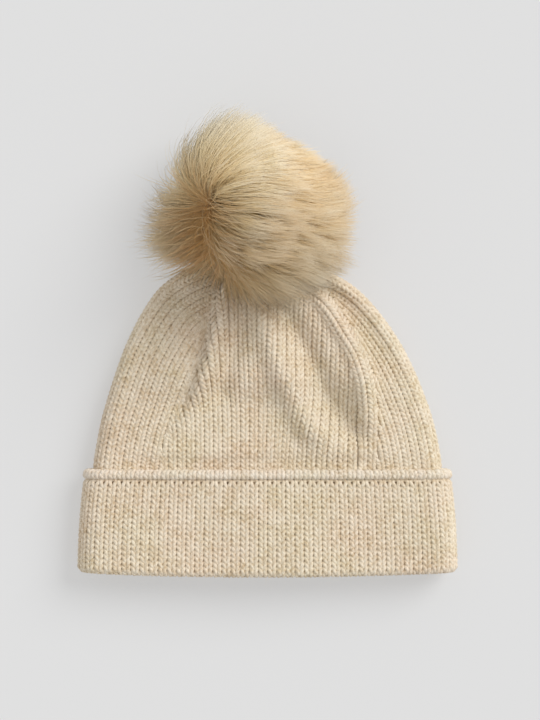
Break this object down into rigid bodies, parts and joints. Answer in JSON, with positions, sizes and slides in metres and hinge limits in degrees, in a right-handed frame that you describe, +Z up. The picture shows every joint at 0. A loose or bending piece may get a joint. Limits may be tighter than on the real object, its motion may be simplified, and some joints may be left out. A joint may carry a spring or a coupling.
{
  "type": "pom pom beanie",
  "caption": "Knitted beanie with a turn-up cuff, a shaped crown and a fur pom-pom on a snap, lying flat.",
  "frame": {"origin": "middle of the hat's box, on the surface that it lies on", "axes": "+X across the hat, +Y from the hem to the pom-pom, +Z up, away from the surface; the wearer's front faces up"},
  "size_m": [0.23, 0.276, 0.0964],
  "materials": {
    "knit": "matte",
    "seam_yarn": "matte",
    "sewing_thread": "matte",
    "felt": "matte",
    "label_tape": "satin",
    "snap_metal": "satin",
    "spring_wire": "polished",
    "base_plastic": "matte",
    "fur_backing": "matte",
    "fur_pile": "matte",
    "stuffing": "matte"
  },
  "bodies": {
    "root": {"knit_body": "knit", "turn_up_cuff": "knit", "cuff_edge_roll": "knit", "back_seam": "seam_yarn", "cuff_seam": "seam_yarn", "label_stitches": "sewing_thread"},
    "care_label": {"care_label": "label_tape"},
    "crown_top": {"crown_gather": "knit", "draw_thread": "seam_yarn", "felt_backing": "felt", "stud_post": "snap_metal", "snap_stud": "snap_metal"},
    "snap_spring": {"snap_spring": "spring_wire"},
    "pom": {"snap_socket": "snap_metal", "socket_cap": "snap_metal", "pom_base_disc": "base_plastic", "pom_backing": "fur_backing", "pom_closing_thread": "sewing_thread", "pom_fill": "stuffing", "pom_pile": "fur_pile"}
  },
  "joints": [
    {"name": "pom_tilt", "type": "hinge", "parent": "root", "child": "crown_top", "pos_m": [-0.009, 0.04998, 0.019], "axis": [1, 0, 0], "range_deg": [-25, 60]},
    {"name": "pom_pull_off", "type": "slide", "parent": "crown_top", "child": "snap_spring", "axis": [0, 0.866, 0.5], "range_m": [0, 0.06]},
    {"name": "pom_spin", "type": "hinge", "parent": "snap_spring", "child": "pom", "pos_m": [-0.009, 0.04998, 0.019], "axis": [0, 0.866, 0.5], "continuous": true},
    {"name": "label_flap", "type": "hinge", "parent": "root", "child": "care_label", "pos_m": [0.00065, -0.10302, 0.0068], "axis": [0, -1, 0], "range_deg": [0, 40]}
  ]
}
